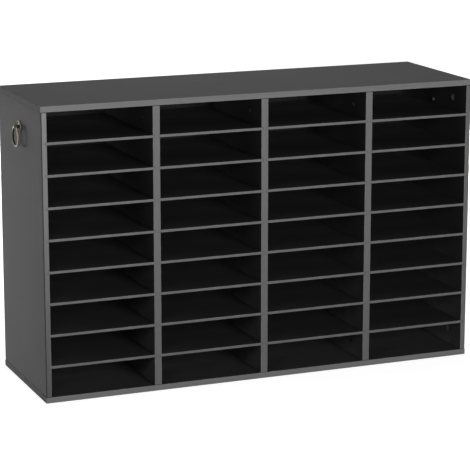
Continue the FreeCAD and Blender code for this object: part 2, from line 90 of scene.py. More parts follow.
# %% [markdown]
# ## The camera
# A camera could be aimed with a constraint, but plain numbers are easier to repeat. A long
# lens from across the room keeps the boards nearly parallel. The camera stands in front and
# to the left, a little over four metres away, and looks down by thirteen degrees. Its turn
# shows the left side panel with its ring pull. The lens has no shift, so the same camera
# can walk round the sorter for the other views.

# %% Camera
CAMERA_PLACE = Vector((-1.6352, -3.9761, 1.2551))
CAMERA_DOWN = math.radians(12.80)
CAMERA_TURN = math.radians(-22.30)
LENS_MM = 156.74

camera = bpy.data.objects.new("studio_camera", bpy.data.cameras.new("studio_camera"))
bpy.context.scene.collection.objects.link(camera)
camera.location = CAMERA_PLACE
camera.rotation_euler = (math.pi / 2 - CAMERA_DOWN, 0, CAMERA_TURN)
camera.data.lens = LENS_MM
bpy.context.scene.camera = camera
print("camera to the sorter, m:", round((CAMERA_PLACE - (cad_low + cad_high) / 2).length, 2))

# %% [markdown]
# ## Colours
# A shader works with linear light, while colours are usually picked as sRGB hex values.
# One function turns the first into the second, so every colour below can be read and
# changed as a hex value.

# %% From sRGB to linear light
def linear(hex_colour):
    """A colour such as #5b5b5b as linear red, green, blue and alpha."""
    parts = [int(hex_colour[i:i + 2], 16) / 255 for i in (1, 3, 5)]
    light = [p / 12.92 if p <= 0.04045 else ((p + 0.055) / 1.055) ** 2.4 for p in parts]
    return (*light, 1.0)


print("charcoal in linear light:", [round(part, 3) for part in linear("#555555")[:3]])

# %% [markdown]
# ## One way to add a node
# Node trees are often built by hand in the editor. Here one function adds any node with
# its settings and its inputs. An input may be a number, a colour, or the node that feeds
# it. A node hides the sockets that its settings don't need, so the inputs are given in the
# order of the sockets that are in use.

# %% Node helper
def plug(tree, socket, value):
    """Sets a socket to a value, or links it to the socket or the node that feeds it."""
    if isinstance(value, bpy.types.Node):
        value = next(output for output in value.outputs if output.enabled)
    if isinstance(value, bpy.types.NodeSocket):
        tree.links.new(value, socket)
    else:
        socket.default_value = value


def add(tree, kind, *inputs, **settings):
    """Adds a node of that kind with its settings, and plugs the inputs in, in order."""
    node = tree.nodes.new("ShaderNode" + kind)
    for name, value in settings.items():
        setattr(node, name, value)
    for socket, value in zip([socket for socket in node.inputs if socket.enabled], inputs):
        plug(tree, socket, value)
    return node


def new_material(name):
    """A material with its Principled shader, ready for its inputs."""
    material = bpy.data.materials.new(name)
    material.use_nodes = True
    return material, material.node_tree, material.node_tree.nodes["Principled BSDF"]


first_try, tree, shader = new_material("first_try")
doubled = add(tree, "Math", 2.0, 0.5, operation="MULTIPLY")
print("a", doubled.bl_label, "node with the inputs", [s.default_value for s in doubled.inputs[:2]])
bpy.data.materials.remove(first_try)

# %% [markdown]
# ## Patterns measured in millimetres
# Object coordinates are in metres from the model's origin, and every board sits at the
# origin with its place in its mesh. Multiplied by a thousand, they give millimetres, so a
# noise whose scale is one over a grain size has grains of that size on every board. A
# noise seldom comes near 0 or 1, so its usual values are spread out before they are used.

# %% Millimetre coordinates
USUAL_NOISE = (0.3, 0.7)


def in_millimetres(tree):
    """Where a point lies on the sorter, in millimetres."""
    place = add(tree, "TexCoord").outputs["Object"]
    return add(tree, "VectorMath", place, MM_PER_M, operation="SCALE")


print("a grain of 2.2 mm has the noise scale", round(1 / 2.2, 3))

# %% [markdown]
# ## What a board is made of
# Melamine-faced chipboard is a core of pressed wood chips with a printed foil fused on
# both faces. After sawing, a thin band is ironed on the edges that show. Each face could
# have a material of its own. Here the finish is built as a solid instead: anything within
# a third of a millimetre of a face is foil, anything within a millimetre of the front is
# edge band, and whatever a groove or a bore cuts open is bare core. So the grooves and the
# back edges show chips by themselves.

# %% Chipboard core
CHIP_MM = 3.0
FLAKE_MM = 1.1
PALE_CHIP, TAN_CHIP, GLUE = "#c3a77d", "#8f7350", "#6a5238"
GLUE_TO_CHIP = (0.35, 0.62)


def chipboard(tree, place):
    """Bare core: pale and tan chips pressed together, with dark glue between them."""
    chips = add(tree, "TexVoronoi", place, 1 / CHIP_MM)
    tone = add(tree, "SeparateColor", chips.outputs["Color"])
    wood = add(tree, "Mix", tone, linear(TAN_CHIP), linear(PALE_CHIP), data_type="RGBA")
    flakes = add(tree, "MapRange", add(tree, "TexNoise", place, 1 / FLAKE_MM), *GLUE_TO_CHIP)
    return add(tree, "Mix", flakes, linear(GLUE), wood, data_type="RGBA")


print("chips are", CHIP_MM, "mm across, and the flakes between them", FLAKE_MM, "mm")

# %% [markdown]
# The foil is a super-matt charcoal on the outside and black inside, and the black inside also
# paints the shade of the pigeonholes. Its press plate leaves a fine pearl grain and very faint
# streaks along the board. Pearls of half a millimetre would vanish in a whole view, so they are
# drawn a few times larger.

# %% Foil tone
PEARL_MM, PEARL_CONTRAST = 2.2, 0.045
CLOUD_MM, CLOUD_CONTRAST = 90.0, 0.03
STREAK_ACROSS_MM, STREAK_ALONG_MM, STREAK_CONTRAST = 5.0, 260.0, 0.035
STREAK_DETAIL = 3.0


def foil_tone(tree, place, along):
    """A brightness factor near 1: pearl grain, streaks along the board, slow clouds."""
    stretch = [1 / STREAK_ACROSS_MM] * 3
    stretch[along] = 1 / STREAK_ALONG_MM
    combed = add(tree, "VectorMath", place, stretch, operation="MULTIPLY")
    patterns = ((add(tree, "TexNoise", combed, 1.0, STREAK_DETAIL), STREAK_CONTRAST),
                (add(tree, "TexNoise", place, 1 / PEARL_MM), PEARL_CONTRAST),
                (add(tree, "TexNoise", place, 1 / CLOUD_MM), CLOUD_CONTRAST))
    streaks, pearls, clouds = [add(tree, "MapRange", noise, *USUAL_NOISE, -contrast, contrast)
                               for noise, contrast in patterns]
    total = add(tree, "Math", streaks, pearls, operation="ADD")
    total = add(tree, "Math", total, clouds, operation="ADD")
    return add(tree, "Math", total, 1.0, operation="ADD")


print("streaks run", STREAK_ALONG_MM, "mm along a board and are", STREAK_ACROSS_MM, "mm wide")

# %% [markdown]
# Hands and neighbouring furniture rub a board first along its arrises, where two faces
# meet. A pointiness node would need a fine mesh, but a board is a box, so its own sizes
# are enough: a point is near an arris when the second smallest of its three distances to
# the faces is small. Noise breaks the rubbed line up, so that it comes and goes.

# %% Rubbed arrises
RUB_PATCH_MM = 22.0
RUB_PATCHES = (0.46, 0.7)
RUB_CORE_MM, RUB_WIDTH_MM = 0.2, 1.3


def rubbed(tree, place, low, high):
    """How far the arrises of the box from low to high are rubbed, from 0 to 1."""
    middle, half = (low + high) / 2, (high - low) / 2
    offset = add(tree, "VectorMath", place, middle, operation="SUBTRACT")
    offset = add(tree, "VectorMath", offset, operation="ABSOLUTE")
    depth = add(tree, "VectorMath", half, offset, operation="SUBTRACT")
    x, y, z = add(tree, "SeparateXYZ", depth).outputs
    smaller = add(tree, "Math", x, y, operation="MINIMUM")
    larger = add(tree, "Math", x, y, operation="MAXIMUM")
    second = add(tree, "Math", smaller, add(tree, "Math", larger, z, operation="MINIMUM"),
                 operation="MAXIMUM")
    noise = add(tree, "TexNoise", place, 1 / RUB_PATCH_MM)
    patches = add(tree, "MapRange", noise, *RUB_PATCHES)
    line = add(tree, "MapRange", second, RUB_CORE_MM, RUB_WIDTH_MM, 1.0, 0.0)
    return add(tree, "Math", line, patches, operation="MULTIPLY")


print("arrises are rubbed up to", RUB_WIDTH_MM, "mm from the edge")

# %% [markdown]
# Where the end of an upright stands on a cap, a fine dark line is painted as the shadow in the
# joint. Another painted shadow line runs beside the edge band of a side panel. Such lines could be
# grooves in the mesh, but they have no depth to speak of, so they are colour. Both are drawn a
# little wider than life, to be seen from across the room.

# %% Painted shadow lines at the seams
X, Y, Z = 0, 1, 2
SEAM_MM = 1.1
BAND_MM = 1.0
BAND_SIDE_SHADOW_MM = 3.0


def from_middle(tree, position, box, axis):
    """Distance from the middle of the box along one axis."""
    offset = add(tree, "Math", position[axis], (box[0][axis] + box[1][axis]) / 2,
                 operation="SUBTRACT")
    return add(tree, "Math", offset, operation="ABSOLUTE")


def seam_shadow_lines(tree, position, box, across, along, outer):
    """1 on the painted shadow lines at the seams of an upright board. Outer is the sign of its
    outer face, or 0.
    """
    low, high = box
    middle, half = (low + high) / 2, (high - low) / 2
    line = add(tree, "Math", from_middle(tree, position, box, along), half[along] - SEAM_MM,
               operation="GREATER_THAN")
    if outer:
        sideways = add(tree, "Math", position[across], middle[across], operation="SUBTRACT")
        outwards = add(tree, "Math", sideways, outer, operation="MULTIPLY")
        at_face = add(tree, "Math", outwards, half[across] - SEAM_MM, operation="GREATER_THAN")
        by_band = add(tree, "Math", position[Y], low.y + BAND_MM + BAND_SIDE_SHADOW_MM,
                      operation="LESS_THAN")
        band_side_shadow = add(tree, "Math", at_face, by_band, operation="MULTIPLY")
        line = add(tree, "Math", line, band_side_shadow, operation="MAXIMUM")
    return line


print("seam lines:", SEAM_MM, "mm at the caps,", BAND_SIDE_SHADOW_MM, "mm beside an edge band")

# %% [markdown]
# A pale film lies on what faces up inside the pigeonholes, and on their walls. It is dust, and it
# is also painted light: it thickens towards the back of a hole, towards the floor and at the left
# end of a shelf, where the lamps leave the holes too dark, and so it lifts them there. A particle
# system would be far too heavy for this: a pale share mixed into the colour says the same.

# %% Dust and painted light
DUST_AND_LIGHT_PATCH_MM = 35.0
DUST_AND_LIGHT_PATCHES = (0.8, 1.2)
DUST_AND_LIGHT_HEIGHT_MM = 430.0
TOWARDS_BACK, TOWARDS_FLOOR = 3.0, 2.0
LOW_DUST_AND_LIGHT_AT_FRONT, LOW_DUST_AND_LIGHT_AT_BACK = 0.4, 3.4


def dust_and_painted_light(tree, place, position, box, amounts):
    """Share of the pale film inside a hole, which is dust and painted light. The amounts are for
    the back, the floor and the left.
    """
    low, high = box
    at_back, at_floor, at_left = amounts
    depth = add(tree, "MapRange", position[Y], low.y, high.y)
    film = add(tree, "Math", depth, TOWARDS_BACK, operation="POWER")
    film = add(tree, "Math", film, at_back, operation="MULTIPLY")
    lowness = add(tree, "MapRange", position[Z], 0.0, DUST_AND_LIGHT_HEIGHT_MM, 1.0, 0.0)
    lowness = add(tree, "Math", lowness, TOWARDS_FLOOR, operation="POWER")
    deepening = add(tree, "MapRange", depth, 0.0, 1.0, LOW_DUST_AND_LIGHT_AT_FRONT * at_floor,
                    LOW_DUST_AND_LIGHT_AT_BACK * at_floor)
    low_film = add(tree, "Math", lowness, deepening, operation="MULTIPLY")
    film = add(tree, "Math", film, low_film, operation="ADD")
    left_film = add(tree, "MapRange", position[X], low.x, (low.x + high.x) / 2, at_left, 0.0)
    film = add(tree, "Math", film, left_film, operation="ADD")
    noise = add(tree, "TexNoise", place, 1 / DUST_AND_LIGHT_PATCH_MM)
    patches = add(tree, "MapRange", noise, *USUAL_NOISE, *DUST_AND_LIGHT_PATCHES)
    return add(tree, "Math", film, patches, operation="MULTIPLY")


print("dust lies in patches of", DUST_AND_LIGHT_PATCH_MM, "mm, up to", DUST_AND_LIGHT_HEIGHT_MM, "mm on the walls")

# %% [markdown]
# The front edge bands are painted darker near the floor and paler higher up, as the light on them
# falls off towards the floor: painted light and shade. One factor along the height, from the foot
# of the case to its top, is enough for that slow change.

# %% Painted light on the front edges
CASE_HEIGHT_MM = MM_PER_M * cad_high.z
EVEN = (1.0, 1.0)


def band_with_painted_light(tree, colour, painted_light_by_height):
    """The colour of an edge band, times a factor of painted light that changes from the foot to the
    top.
    """
    if painted_light_by_height == EVEN:
        return linear(colour)
    height = add(tree, "SeparateXYZ", in_millimetres(tree)).outputs["Z"]
    factor = add(tree, "MapRange", height, 0.0, CASE_HEIGHT_MM, *painted_light_by_height)
    return add(tree, "VectorMath", linear(colour)[:3], factor, operation="SCALE")


print("case height, mm:", round(CASE_HEIGHT_MM, 1))

# %% [markdown]
# ## The board finish
# These layers now come together. The colour of a face is its foil with the pale film of dust and
# painted light on it, and faces and core meet at the foil's thickness.

# %% Colour of the faces
FOIL_MM = 0.35
# The black of the inner faces also paints the shade inside the pigeonholes.
CHARCOAL, BLACK_AND_SHADE, DUST_AND_LIGHT_TONE = "#555555", "#282828", "#5d5d5c"


def face_and_core(tree, place, position, box, across, foils, dust_and_light, film):
    """The two foils with their dust and painted light, and the chipboard between them."""
    low, high = box
    middle, half = (low + high) / 2, (high - low) / 2
    off_middle = add(tree, "Math", position[across], middle[across], operation="SUBTRACT")
    on_high_side = add(tree, "Math", off_middle, 0.0, operation="GREATER_THAN")
    low_foil, high_foil = linear(foils[0]), linear(foils[1])
    face = add(tree, "Mix", on_high_side, low_foil, high_foil, data_type="RGBA")
    if any(dust_and_light):
        dust_and_light_face = add(tree, "MapRange", on_high_side, 0.0, 1.0, *dust_and_light)
        share = add(tree, "Math", dust_and_painted_light(tree, place, position, box, film), dust_and_light_face,
                    operation="MULTIPLY")
        # The pale film mixed in here is dust and painted light together.
        face = add(tree, "Mix", share, face, linear(DUST_AND_LIGHT_TONE), data_type="RGBA")
    is_foil = add(tree, "Math", add(tree, "Math", off_middle, operation="ABSOLUTE"),
                  half[across] - FOIL_MM, operation="GREATER_THAN")
    return add(tree, "Mix", is_foil, chipboard(tree, place), face, data_type="RGBA")


print("foil is", FOIL_MM, "mm thick, and the edge band", BAND_MM, "mm")

# %% [markdown]
# On top come the edge bands with their painted light from foot to top, then the tone of the foil,
# the rubbed arrises and the painted shadow lines at the seams.
# To the eye the board is dead matt: the foil has a low specular level and a high
# roughness, and a very shallow bump of pearls.

# %% Board finish
BAND, END_BAND, SEAM_SHADOW, RUBBED = "#636363", "#505050", "#2b2b2b", "#7c7c7a"
PEARL_DETAIL = 3.0
PEARL_HEIGHT_M, PEARL_STRENGTH = 0.00004, 0.6
FOIL_ROUGHNESS = (0.86, 0.95)
FOIL_SPECULAR = 0.03


def board_finish(name, place_of, box, across, along, foils, band=BAND, painted_light_by_height=EVEN,
                 banded=(), shadow_lines=None, dust_and_light=(0.0, 0.0), film=(0.0, 0.0, 0.0)):
    """The layered finish of one board. Its foils and its shares of dust and painted light are given
    for its low, then its high face.

    Across is the axis through the board's thickness, and along the axis that it runs along.
    """
    low, high = box
    material, tree, shader = new_material(name)
    place = place_of(tree)
    position = add(tree, "SeparateXYZ", place).outputs
    colour = face_and_core(tree, place, position, box, across, foils, dust_and_light, film)
    for axis in banded:
        at_end = add(tree, "Math", from_middle(tree, position, box, axis),
                     (high - low)[axis] / 2 - BAND_MM, operation="GREATER_THAN")
        colour = add(tree, "Mix", at_end, colour, linear(END_BAND), data_type="RGBA")
    at_front = add(tree, "Math", position[Y], low.y + BAND_MM, operation="LESS_THAN")
    # The front band's tone is painted lighter towards the top and darker towards the foot: painted
    # light and shade.
    front = band_with_painted_light(tree, band, painted_light_by_height)
    colour = add(tree, "Mix", at_front, colour, front, data_type="RGBA")
    tone = foil_tone(tree, place, along)
    colour = add(tree, "VectorMath", colour, tone, operation="SCALE")
    worn = rubbed(tree, place, low, high)
    colour = add(tree, "Mix", worn, colour, linear(RUBBED), data_type="RGBA")
    # The dark lines at the seams are painted shadow.
    if shadow_lines is not None:
        line = seam_shadow_lines(tree, position, box, across, along, shadow_lines)
        colour = add(tree, "Mix", line, colour, linear(SEAM_SHADOW), data_type="RGBA")
    plug(tree, shader.inputs["Base Color"], colour)

    pearls = add(tree, "TexNoise", place, 1 / PEARL_MM, PEARL_DETAIL)
    sheen = add(tree, "MapRange", pearls, *USUAL_NOISE, *FOIL_ROUGHNESS)
    plug(tree, shader.inputs["Roughness"], sheen)
    shader.inputs["Specular IOR Level"].default_value = FOIL_SPECULAR
    relief = add(tree, "Bump", PEARL_STRENGTH, PEARL_HEIGHT_M)
    plug(tree, relief.inputs["Height"], pearls)
    plug(tree, shader.inputs["Normal"], relief)
    return material


print("the foil's roughness lies between", *FOIL_ROUGHNESS)

# %% [markdown]
# A finish is put on a board by giving it to the material slots of the board's object. The
# mesh itself stays as the CAD made it. A material also needs to know where its board lies,
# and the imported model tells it.

# %% Put a finish on a node
def dress(node, material):
    """Puts the material in every slot of a CAD node's object."""
    for slot in nodes[node].material_slots:
        slot.material = material


def box_mm(node):
    """The box of a CAD node, in millimetres."""
    return tuple(MM_PER_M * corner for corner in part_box(node))


print("one corner of a divider, mm:", [round(side, 1) for side in box_mm("divider_1")[0]])

# %% [markdown]
# ## The case boards
# The two caps lie flat and run along X, the sides and dividers stand up and run along Z.
# Outer faces are charcoal and inner faces black, and that black also paints the shade inside the
# pigeonholes. The caps overhang the sides, so their ends show and carry an edge band as well. The
# caps' bands are set a shade paler, to match how brightly their edges are lit: painted light. The
# band of the left side panel carries the strongest painted change of light from foot to top.

# %% Dress the case boards
OUTSIDE_HIGH, OUTSIDE_LOW, INSIDE = (BLACK_AND_SHADE, CHARCOAL), (CHARCOAL, BLACK_AND_SHADE), (BLACK_AND_SHADE, BLACK_AND_SHADE)
WALL_FILM = (1.0, 0.72, 0.0)
LOWEST_FLOOR_FILM = (1.0, 0.11, 0.0)
SLIGHT_LIGHT_BY_HEIGHT, STRONG_LIGHT_BY_HEIGHT = (0.86, 1.14), (0.60, 1.48)
DIVIDER = (X, Z, INSIDE, {"shadow_lines": 0.0, "dust_and_light": (1.0, 1.0), "film": WALL_FILM,
                          "painted_light_by_height": SLIGHT_LIGHT_BY_HEIGHT})
CASE_BOARDS = {
    "top_panel": (Z, X, OUTSIDE_HIGH, {"banded": (X,), "band": "#6b6b6b"}),
    "bottom_panel": (Z, X, OUTSIDE_LOW, {
        "banded": (X,), "band": "#676767", "dust_and_light": (0.0, 1.0), "film": LOWEST_FLOOR_FILM}),
    "left_side_panel": (X, Z, OUTSIDE_LOW, {
        "shadow_lines": -1.0, "dust_and_light": (0.0, 1.0), "film": WALL_FILM, "painted_light_by_height": STRONG_LIGHT_BY_HEIGHT}),
    "right_side_panel": (X, Z, OUTSIDE_HIGH, {
        "shadow_lines": 1.0, "dust_and_light": (1.0, 0.0), "film": WALL_FILM, "band": "#5f5f5f"}),
    "divider_1": DIVIDER, "divider_2": DIVIDER, "divider_3": DIVIDER,
}
for board, (across, along, foils, extras) in CASE_BOARDS.items():
    low, high = box_mm(board)
    dress(board, board_finish(f"melamine_faced_chipboard_{board}", in_millimetres,
                              (low, high), across, along, foils, **extras))
    print(board, "is", round(min(high - low), 1), "mm thick")

# %% [markdown]
# ## The shelves
# All thirty-two shelves share one finish, because they are sawn from the same sheet. Each
# could have a material of its own, but the case repeats at a fixed pitch across and
# upwards. So wrapping the coordinates at those pitches brings every shelf onto the first
# one, and its box then serves for all of them. The shelves lie in one plane from front to
# back, so there the pitch is simply far too long to matter.

# %% Measure the shelves
shelf_low, shelf_high = box_mm("shelf_c1_r1")
shelf_middle = (shelf_low + shelf_high) / 2
column_pitch = (box_mm("shelf_c2_r1")[0] - shelf_low).x
row_pitch = (shelf_low - box_mm("shelf_c1_r2")[0]).z
NO_PITCH_MM = 10000.0
print("shelf thickness, mm:", round((shelf_high - shelf_low).z, 2))
print("pitches across and up, mm:", round(column_pitch, 1), round(row_pitch, 1))


def on_first_shelf(tree):
    """Any shelf's point, moved onto the first shelf, in millimetres."""
    reach = Vector((column_pitch, NO_PITCH_MM, row_pitch)) / 2
    return add(tree, "VectorMath", in_millimetres(tree), shelf_middle + reach,
               shelf_middle - reach, operation="WRAP")


# %% [markdown]
# Both faces of a shelf are black, which also paints the shade inside the holes. The upper one is a
# trace darker, and only that one gathers the pale film of dust and painted light: at the back, and
# at the left end.

# %% Dress the shelves
SHELF_BLACK = "#262626"
SHELF_FILM = (1.0, 0.0, 0.09)
shelf_finish = board_finish("melamine_faced_thin_board", on_first_shelf,
                            (shelf_low, shelf_high), Z, X, (BLACK_AND_SHADE, SHELF_BLACK),
                            band="#626262", painted_light_by_height=SLIGHT_LIGHT_BY_HEIGHT,
                            dust_and_light=(0.0, 1.0), film=SHELF_FILM)
shelves = sorted(node for node in nodes if node.startswith("shelf_"))
for shelf in shelves:
    dress(shelf, shelf_finish)
print("shelves:", len(shelves))

# %% [markdown]
# ## The back panel
# Hardboard is wood fibre pressed wet against a wire screen. Its front is smooth and
# lacquered black here, and its back keeps the screen's small squares. Modelling them would
# take a million faces, so a shallow bump draws them. The squares are about a millimetre
# and a half, drawn twice that size so that they can be seen.

# %% Back panel
SCREEN_MM = 3.0
SCREEN_HEIGHT_M, SCREEN_STRENGTH = 0.0002, 0.7
FIBRE_MM, FIBRE_DETAIL = 1.6, 4.0
DARK_FIBRE, PALE_FIBRE, LACQUER = "#2f2821", "#4c4136", "#181818"

# To the eye: dull brown fibre with a faint woven relief behind, plain dark lacquer in front.
hardboard, tree, shader = new_material("screen_back_hardboard")
place = in_millimetres(tree)
x, y, z = add(tree, "SeparateXYZ", place).outputs
back_low, back_high = box_mm("back_panel")
is_front = add(tree, "Math", y, (back_low.y + back_high.y) / 2, operation="LESS_THAN")
fibre = add(tree, "Mix", add(tree, "TexNoise", place, 1 / FIBRE_MM, FIBRE_DETAIL),
            linear(DARK_FIBRE), linear(PALE_FIBRE), data_type="RGBA")
plug(tree, shader.inputs["Base Color"],
     add(tree, "Mix", is_front, fibre, linear(LACQUER), data_type="RGBA"))
shader.inputs["Roughness"].default_value = 0.7
shader.inputs["Specular IOR Level"].default_value = 0.25

turns = [add(tree, "Math", axis, math.tau / SCREEN_MM, operation="MULTIPLY") for axis in (x, z)]
waves = [add(tree, "Math", turn, operation="SINE") for turn in turns]
squares = add(tree, "Math", *waves, operation="MULTIPLY")
is_back = add(tree, "Math", 1.0, is_front, operation="SUBTRACT")
screen = add(tree, "Bump", SCREEN_STRENGTH, SCREEN_HEIGHT_M)
plug(tree, screen.inputs["Height"], add(tree, "Math", squares, is_back, operation="MULTIPLY"))
plug(tree, shader.inputs["Normal"], screen)
dress("back_panel", hardboard)
print("hardboard is", round((back_high - back_low).y, 1), "mm thick")

# %% [markdown]
# ## Metals
# Small fasteners show inside the pigeonholes and at the back. A metal's colour sits in
# its base colour, and its roughness says how it was made. A plain single tone would look
# like plastic, so the colour and the roughness drift together in small patches.

# %% Fastener finishes
METAL_DETAIL = 4.0
METAL_PATCHES = (0.35, 0.65)
DARK_IS_ROUGHER, LIGHT_IS_SMOOTHER = 0.08, 0.05


def metal_finish(name, dark, light, patch, roughness):
    """A bare metal: its colour drifts between two tones, in patches of that size."""
    material, tree, shader = new_material(name)
    noise = add(tree, "TexNoise", in_millimetres(tree), 1 / patch, METAL_DETAIL)
    cloud = add(tree, "MapRange", noise, *METAL_PATCHES)
    plug(tree, shader.inputs["Base Color"],
         add(tree, "Mix", cloud, linear(dark), linear(light), data_type="RGBA"))
    plug(tree, shader.inputs["Roughness"],
         add(tree, "MapRange", cloud, 0.0, 1.0, roughness + DARK_IS_ROUGHER,
             roughness - LIGHT_IS_SMOOTHER))
    shader.inputs["Metallic"].default_value = 1.0
    return material


FASTENERS = {
    # A thin coat of zinc on turned steel is paler and a little blue.
    "cam_bolts": ("zinc_plated_steel", "#9c9fa1", "#c4c6c6", 3.0, 0.35),
    # Wire drawn through a die keeps fine lines: a dark, silky grey.
    "back_panel_pins": ("drawn_steel_wire", "#77787a", "#a3a4a5", 1.5, 0.38),
    # Nickel over a pressed screw head is warm and dulls with age: a soft grey gleam.
    "ring_pull_screws": ("nickel_plated_steel_screw", "#7a7872", "#9e9b94", 1.5, 0.42),
    # The washer has the same coat, sheltered by the screw's head: it is paler and shines more.
    "ring_pull_washers": ("nickel_plated_steel_washer", "#98958d", "#c2bfb7", 2.0, 0.3),
}
for node, settings in FASTENERS.items():
    dress(node, metal_finish(*settings))
    print(node, "in", settings[0])

# %% [markdown]
# The cam locks are turned with a screwdriver in the inner faces of the uprights. The ones in the
# side panels get a lighter zinc and the ones in the dividers a darker one: painted light and shade,
# for the light that the cams in the side panels catch and the shade round the others. They are one
# node, so two materials would need a split mesh. How far a point lies from the middle of the case
# tells the two kinds apart.

# %% Cam locks
OUTER_CAMS_MM = 400.0
CAST_GRAIN_MM = 2.0
SHADED_ZINC_ROUGHNESS, LIT_ZINC_ROUGHNESS = 0.43, 0.6

# To the eye: cast zinc has a grainy skin, a soft grey painted as light on the side panels' cams and
# nearly black painted as shade in the dividers.
zinc, tree, shader = new_material("die_cast_zinc")
place = in_millimetres(tree)
x = add(tree, "SeparateXYZ", place).outputs["X"]
is_outer = add(tree, "Math", add(tree, "Math", x, operation="ABSOLUTE"), OUTER_CAMS_MM,
               operation="GREATER_THAN")
noise = add(tree, "TexNoise", place, 1 / CAST_GRAIN_MM, METAL_DETAIL)
cloud = add(tree, "MapRange", noise, *METAL_PATCHES)
# The darker tone is painted shade on the dividers' cams, and the lighter one below is painted light
# on the side panels' cams.
shaded_zinc = add(tree, "Mix", cloud, linear("#55575a"), linear("#7e807f"), data_type="RGBA")
bare = add(tree, "Mix", cloud, linear("#757778"), linear("#9fa1a1"), data_type="RGBA")
plug(tree, shader.inputs["Base Color"],
     add(tree, "Mix", is_outer, shaded_zinc, bare, data_type="RGBA"))
plug(tree, shader.inputs["Roughness"],
     add(tree, "MapRange", is_outer, 0.0, 1.0, SHADED_ZINC_ROUGHNESS, LIT_ZINC_ROUGHNESS))
shader.inputs["Metallic"].default_value = 1.0
dress("cam_locks", zinc)
print("cam locks in", zinc.name, "with two skins")

# %% [markdown]
# ## The dowels
# Dowels are milled from beech, a pale pinkish wood whose fibres run along them. They stand
# upright in the ends of the boards, so noise that is squeezed across and stretched along Z
# gives the fibres. An image of wood could do it too, but noise needs no file.

# %% Beech dowels
BEECH_ACROSS_MM, BEECH_ALONG_MM = 0.8, 12.0
BEECH_DETAIL = 3.0
BEECH_FIBRES = (0.35, 0.65)

# To the eye: pale tan wood with fine darker lines, dull as it left the mill.
beech, tree, shader = new_material("fluted_beech")
squeeze = (1 / BEECH_ACROSS_MM, 1 / BEECH_ACROSS_MM, 1 / BEECH_ALONG_MM)
squeezed = add(tree, "VectorMath", in_millimetres(tree), squeeze, operation="MULTIPLY")
rays = add(tree, "MapRange", add(tree, "TexNoise", squeezed, 1.0, BEECH_DETAIL), *BEECH_FIBRES)
plug(tree, shader.inputs["Base Color"],
     add(tree, "Mix", rays, linear("#b98f63"), linear("#d8b58a"), data_type="RGBA"))
shader.inputs["Roughness"].default_value = 0.65
dress("dowels", beech)
print("dowels in", beech.name)

# %% [markdown]
# ## The ring pulls
# Each side has a ring pull of brass: a turned plate, a round-headed post screwed to it,
# and a ring bent from rod that hangs through the post's head. The CAD solids have these
# forms with plain flats. A lathe leaves rolled rims, coves and fine grooves, so the pieces
# are spun again here from finer outlines, in the same places and inside the same sizes.
# Whatever is turned or bent is given by its radii.

# %% Where the pulls sit
PANEL_FACE_MM = box_mm("right_side_panel")[1].x
ring_low, ring_high = box_mm("right_pull_ring")
ROD_MM = (ring_high - ring_low).x / 2
RING_AXIS_MM = (ring_high.x + ring_low.x) / 2
PULL_DEPTH_MM = (ring_low.y + ring_high.y) / 2
RING_MEAN_MM = (ring_high - ring_low).y / 2 - ROD_MM
PULL_HEIGHT_MM = ring_high.z - ROD_MM
print("ring:", round(2 * RING_MEAN_MM, 1), "mm across its rod, rod", round(2 * ROD_MM, 1), "mm")
print("post centre, mm:", round(RING_AXIS_MM, 1), round(PULL_DEPTH_MM, 1), round(PULL_HEIGHT_MM, 1))

# %% [markdown]
# Spinning is what a lathe does: a closed outline goes once round an axis, and its first
# and last copies merge. A Screw modifier could do it as well, but the operator leaves a
# plain mesh. Afterwards doubled points are merged and the faces are turned outwards.

# %% Spin an outline
DOUBLED_MM = 0.0005


def spin_outline(outline, centre, axis, steps):
    """A ring-shaped solid from a closed outline of points, in millimetres."""
    shape = bmesh.new()
    points = [shape.verts.new(point) for point in outline]
    sides = [shape.edges.new((points[i - 1], points[i])) for i in range(len(points))]
    bmesh.ops.spin(shape, geom=points + sides, cent=centre, axis=axis, angle=math.tau,
                   steps=steps, use_merge=True, use_duplicate=False)
    bmesh.ops.remove_doubles(shape, verts=shape.verts, dist=DOUBLED_MM)
    bmesh.ops.recalc_face_normals(shape, faces=shape.faces)
    return shape


def mirrored(shape, side):
    """The same shape for the right side, or its mirror image for the left."""
    if side == "left":
        bmesh.ops.scale(shape, verts=shape.verts, vec=(-1, 1, 1))
        bmesh.ops.recalc_face_normals(shape, faces=shape.faces)
    return shape


washer = spin_outline([(0, 0, 2), (1, 0, 2), (1, 0, 3), (0, 0, 3)], (0, 0, 0), (1, 0, 0), 8)
print("a square spun in eight steps has", len(washer.faces), "faces")
washer.free()

# %% [markdown]
# A finished shape becomes an object that rides on a body, so it moves with the joint, and
# it shows in place of a CAD node. Only edges with a real crease stay sharp, so the metal
# shines smoothly round its curves.

# %% Turn a shape into a piece
CREASE = math.radians(32)


def stand_in(shape, name, node, material):
    """Makes the shape a piece in metres that rides and shows in place of a CAD node."""
    bmesh.ops.scale(shape, verts=shape.verts, vec=[1 / MM_PER_M] * 3)
    for face in shape.faces:
        face.smooth = True
    for edge in shape.edges:
        edge.smooth = edge.calc_face_angle(0.0) < CREASE
    piece = bpy.data.objects.new(name, bpy.data.meshes.new(name))
    shape.to_mesh(piece.data)
    shape.free()
    bpy.context.scene.collection.objects.link(piece)
    piece.data.materials.append(material)
    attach(piece, nodes[node]["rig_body"])
    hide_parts(node)
    print(name, "has", len(piece.data.polygons), "faces")


print("edges over", round(math.degrees(CREASE)), "degrees stay sharp")

# %% [markdown]
# ## Aged brass
# Old brass is bright only where hands and friction keep it so. Elsewhere a brown patina grows and
# hides the metal. On top of that, the front half of a pull is painted brighter than its rear half:
# a painted highlight where the front lamps catch it. Painting such wear by hand would need an
# image, but the pieces are round, so plain distances say where it lies.

